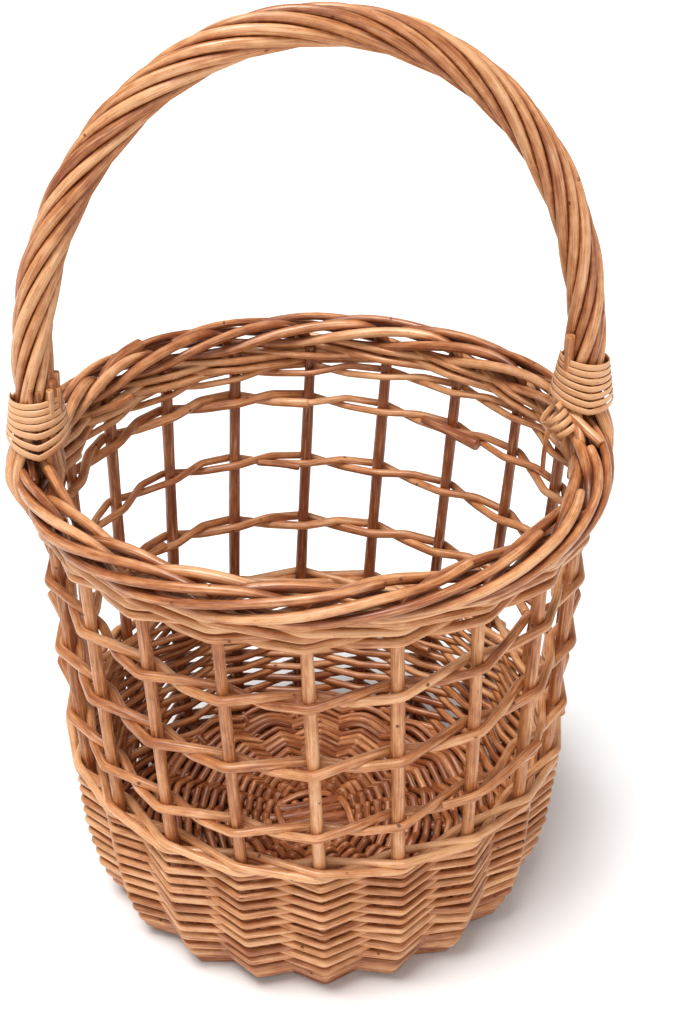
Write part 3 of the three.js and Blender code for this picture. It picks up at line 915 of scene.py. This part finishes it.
class BASKET_OT_cut_ends(bpy.types.Operator):
    """Leaves the trimmed ends of rods: pegs beside the bindings, and butts in rows and border"""

    bl_idname = "basket.cut_ends"
    bl_label = "Cut ends"

    def execute(self, context):
        rng = np.random.default_rng(91)
        ends = (
            # start, end, radius in millimetres, and shade
            ((-102.6, -4.5, 222), (-102.1, -5.0, 246.0), 1.6, 0.5),
            ((-101.2, -1.2, 222), (-100.6, -1.4, 248.0), 1.5, 0.7),
            ((-103.5, -7.4, 222), (-103.2, -7.8, 243.5), 1.4, 0.35),
            ((-100.6, -4.2, 222), (-100.0, -4.5, 243.0), 1.4, 0.55),
            ((-110.5, -7.6, 225), (-110.7, -7.8, 243.8), 1.1, 0.6),
            ((-107.9, -7.8, 225), (-107.9, -8.0, 243.0), 1.0, 0.45),
            ((101.6, -4.0, 220), (101.2, -4.6, 251.5), 1.9, 0.45),
            ((102.5, -7.0, 218), (112.0, -23.0, 211.5), 2.2, 0.5),
            ((105.5, -6.0, 220), (105.0, -18.5, 209.5), 2.1, 0.4),
        )
        rods = []
        for start, end, radius, shade in ends:
            line = bent_line(np.linspace(start, end, 4) * MM, 1 * MM, 3 * MM)
            rods.append(swept(line, [radius * MM], shade, rng, 12, (0, 1, 0.2), bevel=0.9))
        # a thick dark butt on top of the border, at the back left
        around = np.radians([234, 229, 222.5, 215.5])
        knob = place(around, np.array([105, 108, 110.5, 112]) * MM, np.array([206, 210, 212.5, 213]) * MM)
        rods.append(swept(bent_line(knob, 8 * MM), np.array([2.2, 2.9]) * MM, 0.9, rng, 12, bevel=0.8))
        low_row, middle_row, high_row = OPEN_ROWS
        spliced = (
            # open row, stakes, then reaches, lifts and end radii in millimetres, and shade
            (high_row, (7.4, 6.95, 6.45), (-2.6, -5.0, -6.2), (1.0, 0.8, 0.4), (2.0, 2.9), 0.9),
            (low_row, (11.9, 11.6, 11.25), (-4.0, -5.0, -5.4), (1.0, 1.6, 2.6), (1.7, 1.9), 0.8),
            (middle_row, (9.7, 9.35, 9.1), (-3.6, -5.0, -5.6), (0.6, 0.2, -1.0), (1.5, 1.8), 0.8),
            (low_row, (0.55, 1.0, 1.5, 2.0), (2.0, 6.2, 5.4, 6.6), (1.5, 2.0, 4.0, 7.0), (1.5, 1.8), 0.4),
        )
        for row, stakes, reaches, lifts, radii, shade in spliced:
            stakes = np.array(stakes)
            height = row + row_rise(stake_angle(stakes, row)) + np.array(lifts) * MM
            line = bent_line(at_stake(stakes, np.array(reaches) * MM, height), 6 * MM)
            rods.append(swept(line, np.array(radii) * MM, shade, rng, 12, bevel=0.9))
        piece("willow_cut_ends", rods, willow("willow_handle"))
        return {"FINISHED"}


# ---- stage ----
class BASKET_OT_stage(bpy.types.Operator):
    """Sets the pale floor, the soft studio lights and the camera"""

    bl_idname = "basket.stage"
    bl_label = "Stage"

    def execute(self, context):
        scene = context.scene
        scene.view_settings.view_transform = "Standard"
        scene.view_settings.look = "Medium High Contrast"
        half = 6.0
        corners = [(-half, -half, 0), (half, -half, 0), (half, half, 0), (-half, half, 0)]
        mesh = bpy.data.meshes.new("studio_floor")
        mesh.from_pydata(corners, [], [(0, 1, 2, 3)])
        floor = bpy.data.objects.new("studio_floor", mesh)
        scene.collection.objects.link(floor)
        paint = bpy.data.materials.new("studio_floor")
        paint.use_nodes = True
        shader = paint.node_tree.nodes["Principled BSDF"]
        shader.inputs["Base Color"].default_value = (*colours().floor, 1)
        shader.inputs["Roughness"].default_value = 0.9
        mesh.materials.append(paint)
        world = bpy.data.worlds.new("studio")
        world.use_nodes = True
        world.node_tree.nodes["Background"].inputs["Color"].default_value = (1, 1, 1, 1)
        world.node_tree.nodes["Background"].inputs["Strength"].default_value = 0.38
        scene.world = world
        for name, at, spread, power in (
            # where the light comes from, its width in degrees and its strength
            ("key", (-0.22, -0.15, 1.0), 30, 2.9),
            ("fill", (-0.1, -1.0, 0.4), 50, 0.75),
        ):
            lamp = bpy.data.lights.new(name, "SUN")
            lamp.angle, lamp.energy = math.radians(spread), power
            made = bpy.data.objects.new(name, lamp)
            made.rotation_euler = (-Vector(at)).to_track_quat("-Z", "Y").to_euler()
            scene.collection.objects.link(made)
        azimuth, elevation, distance = math.radians(-8), math.radians(30.35), 0.7
        target = Vector((0, 0, 0.19))
        level = math.cos(elevation)
        back = Vector((math.sin(azimuth) * level, -math.cos(azimuth) * level, math.sin(elevation)))
        camera = bpy.data.cameras.new("camera")
        camera.lens, camera.sensor_width = 59.8, 36
        camera.shift_x, camera.shift_y = 0.0237, -0.0334
        seen = bpy.data.objects.new("camera", camera)
        seen.location = target + distance * back
        seen.rotation_euler = (-back).to_track_quat("-Z", "Y").to_euler()
        scene.collection.objects.link(seen)
        scene.camera = seen
        return {"FINISHED"}


class BASKET_PT_panel(bpy.types.Panel):
    """The basket's steps, in the order they are worked"""

    bl_idname = "BASKET_PT_panel"
    bl_label = "Willow egg basket"
    bl_space_type = "VIEW_3D"
    bl_region_type = "UI"
    bl_category = "Basket"

    def draw(self, context):
        for step in STEPS:
            self.layout.operator(step.bl_idname)


STEPS = (
    BASKET_OT_stage,
    BASKET_OT_base_sticks,
    BASKET_OT_base_weave,
    BASKET_OT_stakes,
    BASKET_OT_wales,
    BASKET_OT_randing,
    BASKET_OT_fitching,
    BASKET_OT_border,
    BASKET_OT_handle,
    BASKET_OT_bindings,
    BASKET_OT_cut_ends,
)
CLASSES = (BasketSizes, BasketColours, *STEPS, BASKET_PT_panel)


def register():
    for one in CLASSES:
        bpy.utils.register_class(one)
    bpy.types.Scene.basket_sizes = PointerProperty(type=BasketSizes)
    bpy.types.Scene.basket_colours = PointerProperty(type=BasketColours)


def unregister():
    del bpy.types.Scene.basket_sizes
    del bpy.types.Scene.basket_colours
    for one in reversed(CLASSES):
        bpy.utils.unregister_class(one)


def main():
    register()
    for step in STEPS:
        family, name = step.bl_idname.split(".")
        getattr(getattr(bpy.ops, family), name)()


if __name__ == "__main__":
    main()
